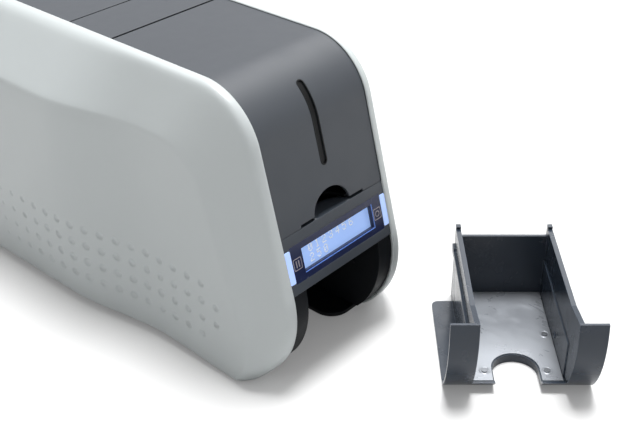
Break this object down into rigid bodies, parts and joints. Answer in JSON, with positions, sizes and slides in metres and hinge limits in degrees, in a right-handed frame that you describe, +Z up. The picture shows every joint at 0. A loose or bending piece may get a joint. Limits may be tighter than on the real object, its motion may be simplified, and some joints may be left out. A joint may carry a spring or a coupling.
{
  "type": "id card printer",
  "caption": "Desktop card printer: dark middle with hinged covers and a display bar between bulging light side panels, with its card tray standing beside it",
  "frame": {"origin": "on the desk under the middle of the printer and its tray taken together (the middle of their bounding box)", "axes": "+Z up, -Y the front with the display bar, +X the printer's right as seen from the front"},
  "size_m": [0.2338, 0.5278, 0.2051],
  "materials": {
    "white_panel": "fine textured warm white plastic",
    "charcoal": "fine textured charcoal plastic",
    "bar_charcoal": "satin charcoal plastic",
    "inner_black": "black plastic",
    "bezel": "glossy dark blue plastic",
    "screen": "light blue display",
    "button_light": "translucent light blue plastic",
    "window": "smoked clear plastic",
    "tray_black": "satin black plastic",
    "tray_sheet": "bright steel sheet",
    "steel": "plain steel",
    "zinc": "zinc plated steel",
    "roller_rubber": "black rubber",
    "foot_rubber": "black rubber",
    "gear_plastic": "natural white plastic",
    "bush_plastic": "grey plastic",
    "board_green": "green circuit board",
    "chip_black": "black plastic",
    "spool_grey": "grey plastic",
    "ribbon": "dark ribbon film",
    "head_ceramic": "print head ceramic",
    "port_metal": "plated steel shell",
    "motor_body": "black painted steel"
  },
  "bodies": {
    "chassis": {"right_side_panel": "white_panel", "left_side_panel": "white_panel", "rubber_feet": "foot_rubber", "panel_screws": "zinc", "right_frame": "inner_black", "left_frame": "inner_black", "base_plate": "inner_black", "board_standoffs": "steel", "rear_panel": "charcoal", "rear_crossmember": "inner_black", "top_bridge": "charcoal", "hinge_pins": "steel", "control_bar": "bar_charcoal", "display_bezel": "bezel", "display_screen": "screen", "display_board": "board_green", "cavity_ceiling": "inner_black", "cavity_liner": "inner_black", "card_hopper": "inner_black", "card_guide": "inner_black", "roller_bushes": "bush_plastic", "feed_motor": "motor_body", "pinch_holder": "bush_plastic", "main_board": "board_green", "board_components": "chip_black", "power_socket": "chip_black", "data_ports": "port_metal"},
    "release_button": {"release_button": "charcoal"},
    "front_cover": {"front_cover": "charcoal", "level_window": "window"},
    "rear_cover": {"rear_cover": "charcoal", "ribbon_cassette": "bush_plastic", "head_bracket": "zinc", "print_head": "head_ceramic"},
    "supply_spool": {"supply_spool": "spool_grey", "supply_roll": "ribbon"},
    "take_up_spool": {"take_up_spool": "spool_grey", "take_up_roll": "ribbon"},
    "left_button": {"left_button": "button_light"},
    "right_button": {"right_button": "button_light"},
    "card_weight": {"card_weight": "bush_plastic"},
    "divert_gate": {"divert_gate": "bush_plastic"},
    "pick_roller": {"pick_roller": "roller_rubber", "pick_shaft": "steel", "pick_gear": "gear_plastic"},
    "feed_roller": {"feed_roller": "roller_rubber", "feed_shaft": "steel", "feed_gear": "gear_plastic"},
    "platen_roller": {"platen_roller": "roller_rubber", "platen_shaft": "steel", "platen_gear": "gear_plastic"},
    "front_idler": {"front_idler_gear": "gear_plastic"},
    "rear_idler": {"rear_idler_gear": "gear_plastic"},
    "motor_pinion": {"motor_pinion": "steel"},
    "pinch_roller": {"pinch_roller": "roller_rubber", "pinch_shaft": "steel"},
    "power_switch": {"power_switch": "chip_black"},
    "output_tray": {"output_tray": "tray_black", "tray_floor_plate": "tray_sheet", "tray_screws": "zinc"}
  },
  "joints": [
    {"name": "front_cover_hinge", "type": "hinge", "parent": "chassis", "child": "front_cover", "pos_m": [-0.03041, 0.03587, 0.1975], "axis": [-1, 0, 0], "range_deg": [0, 70]},
    {"name": "rear_cover_hinge", "type": "hinge", "parent": "chassis", "child": "rear_cover", "pos_m": [-0.03041, 0.21687, 0.1975], "axis": [-1, 0, 0], "range_deg": [0, 75]},
    {"name": "release_button_press", "type": "slide", "parent": "chassis", "child": "release_button", "axis": [0, 0, -1], "range_m": [0, 0.002], "stiffness_N_per_m": 400, "springref_m": -0.001},
    {"name": "left_button_press", "type": "slide", "parent": "chassis", "child": "left_button", "axis": [0, 0.9681, -0.2504], "range_m": [0, 0.0008], "stiffness_N_per_m": 600, "springref_m": -0.0005},
    {"name": "right_button_press", "type": "slide", "parent": "chassis", "child": "right_button", "axis": [0, 0.9681, -0.2504], "range_m": [0, 0.0008], "stiffness_N_per_m": 600, "springref_m": -0.0005},
    {"name": "card_weight_lift", "type": "slide", "parent": "chassis", "child": "card_weight", "axis": [0, 0, 1], "range_m": [0, 0.05]},
    {"name": "divert_gate_swing", "type": "hinge", "parent": "chassis", "child": "divert_gate", "pos_m": [-0.03041, 0.02287, 0.1105], "axis": [1, 0, 0], "range_deg": [0, 20], "stiffness_Nm_per_rad": 0.02, "springref_deg": -2.86},
    {"name": "rear_idler_spin", "type": "hinge", "parent": "chassis", "child": "rear_idler", "pos_m": [-0.03041, 0.11187, 0.1063], "axis": [1, 0, 0], "continuous": true},
    {"name": "front_idler_spin", "type": "hinge", "parent": "chassis", "child": "front_idler", "pos_m": [-0.03041, 0.03337, 0.1063], "axis": [1, 0, 0], "continuous": true},
    {"name": "pick_roller_spin", "type": "hinge", "parent": "chassis", "child": "pick_roller", "pos_m": [-0.03041, -0.00513, 0.1063], "axis": [1, 0, 0], "continuous": true},
    {"name": "feed_roller_spin", "type": "hinge", "parent": "chassis", "child": "feed_roller", "pos_m": [-0.03041, 0.07187, 0.1063], "axis": [1, 0, 0], "continuous": true},
    {"name": "platen_roller_spin", "type": "hinge", "parent": "chassis", "child": "platen_roller", "pos_m": [-0.03041, 0.15187, 0.1063], "axis": [1, 0, 0], "continuous": true},
    {"name": "motor_pinion_spin", "type": "hinge", "parent": "chassis", "child": "motor_pinion", "pos_m": [-0.03041, 0.11187, 0.0703], "axis": [1, 0, 0], "continuous": true},
    {"name": "pinch_roller_spin", "type": "hinge", "parent": "chassis", "child": "pinch_roller", "pos_m": [-0.03041, 0.07187, 0.1184], "axis": [1, 0, 0], "continuous": true},
    {"name": "supply_spool_spin", "type": "hinge", "parent": "rear_cover", "child": "supply_spool", "pos_m": [-0.03041, 0.18987, 0.16], "axis": [1, 0, 0], "continuous": true},
    {"name": "take_up_spool_spin", "type": "hinge", "parent": "rear_cover", "child": "take_up_spool", "pos_m": [-0.03041, 0.12787, 0.162], "axis": [1, 0, 0], "continuous": true},
    {"name": "power_switch_rock", "type": "hinge", "parent": "chassis", "child": "power_switch", "pos_m": [-0.00641, 0.25787, 0.062], "axis": [1, 0, 0], "range_deg": [0, 12]},
    {"name": "output_tray_lift", "type": "slide", "parent": "chassis", "child": "output_tray", "axis": [0, 0, 1], "range_m": [0, 0.12]}
  ],
  "couplings": [
    {"joint": "feed_roller_spin", "follows": "rear_idler_spin", "ratio": -3},
    {"joint": "platen_roller_spin", "follows": "rear_idler_spin", "ratio": -3},
    {"joint": "front_idler_spin", "follows": "rear_idler_spin", "ratio": 1.0526},
    {"joint": "pick_roller_spin", "follows": "rear_idler_spin", "ratio": -3},
    {"joint": "motor_pinion_spin", "follows": "rear_idler_spin", "ratio": -5}
  ]
}
